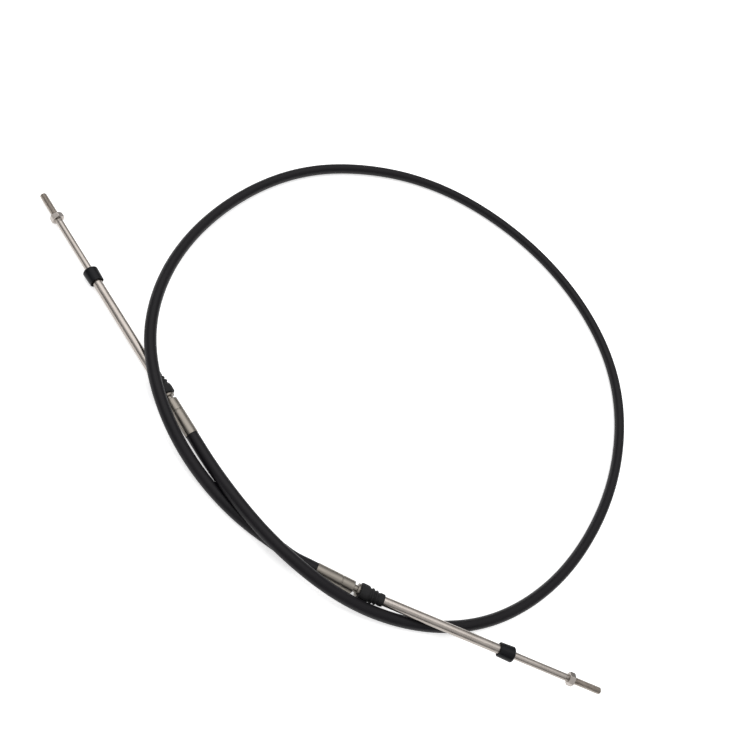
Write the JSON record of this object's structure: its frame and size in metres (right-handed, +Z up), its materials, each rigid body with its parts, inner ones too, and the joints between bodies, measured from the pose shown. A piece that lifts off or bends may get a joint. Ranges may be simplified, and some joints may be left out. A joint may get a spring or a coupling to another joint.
{
  "type": "boat control cable",
  "caption": "Push-pull boat control cable: black jacketed conduit in a loop, with a swaged hub, rubber swivel boot, support tube, seal and threaded sliding rod on each end.",
  "frame": {"origin": "on the floor, at the bottom centre of the box round the two end fittings", "axes": "+Z up from the floor that the cable lies on; +X and +Y are in the floor, with the loop of cable towards +Y and end a pointing to -X +Y"},
  "size_m": [0.4868, 0.4372, 0.0319],
  "materials": {
    "jacket": "satin black extruded jacket",
    "swaged_steel": "satin swaged steel",
    "boot_rubber": "matte black moulded rubber",
    "stainless": "ground and polished stainless steel",
    "seal_rubber": "smooth black rubber",
    "nut_steel": "bright machined steel"
  },
  "bodies": {
    "cable": {"conduit": "jacket", "hub_a": "swaged_steel", "hub_b": "swaged_steel", "swivel_boot_a": "boot_rubber", "swivel_boot_b": "boot_rubber"},
    "tube_a": {"support_tube_a": "stainless", "rod_seal_a": "seal_rubber"},
    "rod_a": {"rod_a": "stainless", "jam_nut_a": "nut_steel"},
    "tube_b": {"support_tube_b": "stainless", "rod_seal_b": "seal_rubber"},
    "rod_b": {"rod_b": "stainless", "jam_nut_b": "nut_steel"}
  },
  "joints": [
    {"name": "swivel_a", "type": "hinge", "parent": "cable", "child": "tube_a", "pos_m": [-0.09805, 0.01491, 0.0058], "axis": [0, 0, 1], "range_deg": [-8, 7], "deforming": ["swivel_boot_a"]},
    {"name": "rod_slide_a", "type": "slide", "parent": "tube_a", "child": "rod_a", "axis": [-0.6079, 0.794, -0.0061], "range_m": [-0.0401, 0.0361]},
    {"name": "swivel_b", "type": "hinge", "parent": "cable", "child": "tube_b", "pos_m": [0.04405, -0.09873, 0.0058], "axis": [0, 0, 1], "range_deg": [-0.3, 4], "deforming": ["swivel_boot_b"]},
    {"name": "rod_slide_b", "type": "slide", "parent": "tube_b", "child": "rod_b", "axis": [0.9417, -0.3045, 0.1428], "range_m": [-0.0361, 0.0401]}
  ],
  "couplings": [
    {"joint": "rod_slide_b", "follows": "rod_slide_a", "ratio": -1}
  ]
}
